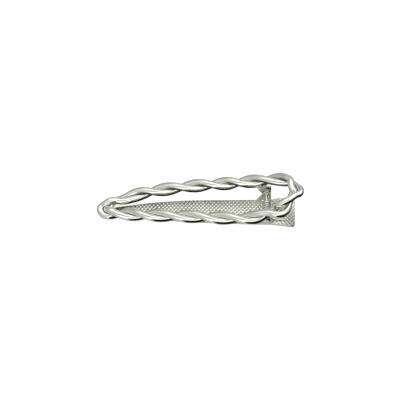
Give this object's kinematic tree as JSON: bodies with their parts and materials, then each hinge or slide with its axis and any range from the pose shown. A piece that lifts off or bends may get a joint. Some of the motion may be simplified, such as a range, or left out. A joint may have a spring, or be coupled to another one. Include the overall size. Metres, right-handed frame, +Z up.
{
  "type": "duckbill hair clip",
  "caption": "Sprung duckbill hair clip in plated metal: an open teardrop frame of twisted strands hinged over a flat knurled lower jaw with a press tail.",
  "frame": {"origin": "on the surface that the clip lies on, under the middle of its length and width", "axes": "+X from the tip to the press tail, +Y to the far side of the picture, +Z up"},
  "size_m": [0.06, 0.0164, 0.0127],
  "materials": {
    "frame_metal": "bright plating over cast strands, slightly worn",
    "knurled_jaw": "bright plating over a fine diamond knurl",
    "pin": "polished",
    "spring_wire": "drawn wire"
  },
  "bodies": {
    "lower": {"lower_jaw": "knurled_jaw", "hinge_pin": "pin", "spring": "spring_wire"},
    "upper": {"twisted_frame": "frame_metal"}
  },
  "joints": [
    {"name": "jaw_hinge", "type": "hinge", "parent": "lower", "child": "upper", "pos_m": [0.0193, 0, 0.0044], "axis": [0, 1, 0], "range_deg": [0, 40], "stiffness_Nm_per_rad": 0.02, "springref_deg": -34.38}
  ]
}
